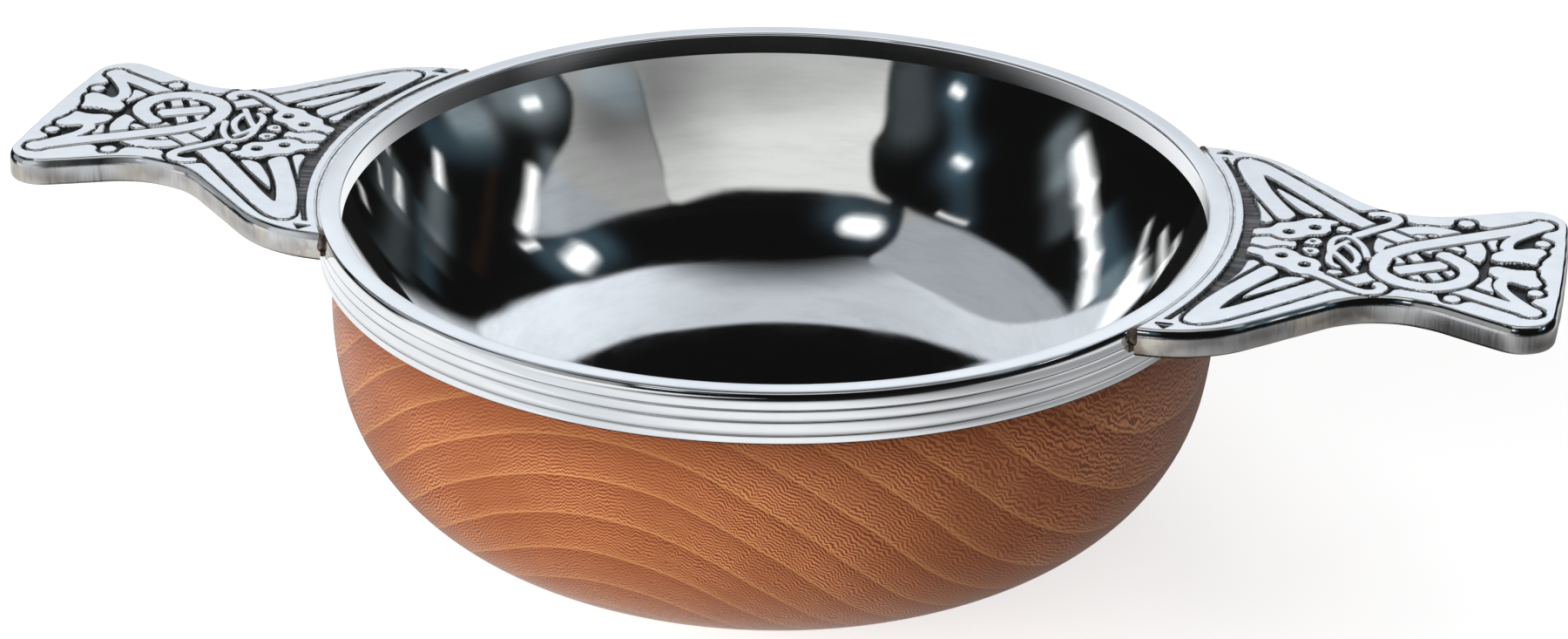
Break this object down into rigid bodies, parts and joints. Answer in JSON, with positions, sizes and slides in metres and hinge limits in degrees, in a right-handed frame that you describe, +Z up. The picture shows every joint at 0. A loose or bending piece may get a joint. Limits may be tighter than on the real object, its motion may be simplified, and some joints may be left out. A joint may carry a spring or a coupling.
{
  "type": "quaich",
  "caption": "Scottish drinking cup: turned wooden bowl with pewter liner and reeded rim, flat cast lugs with beast interlace",
  "frame": {"origin": "middle of the flat base, on the table", "axes": "+X out along the right lug, +Y to the back, +Z up out of the bowl"},
  "size_m": [0.1968, 0.115, 0.05],
  "materials": {
    "bowl_wood": "varnished",
    "polished_pewter": "polished",
    "turned_pewter": "polished",
    "cast_pewter": "polished and blackened",
    "solder": "dull",
    "cement": "matte"
  },
  "bodies": {
    "root": {"wooden_bowl": "bowl_wood", "bowl_liner": "polished_pewter", "liner_cement": "cement", "rim_ring": "turned_pewter", "right_lug": "cast_pewter", "left_lug": "cast_pewter", "right_solder": "solder", "left_solder": "solder"}
  },
  "joints": []
}
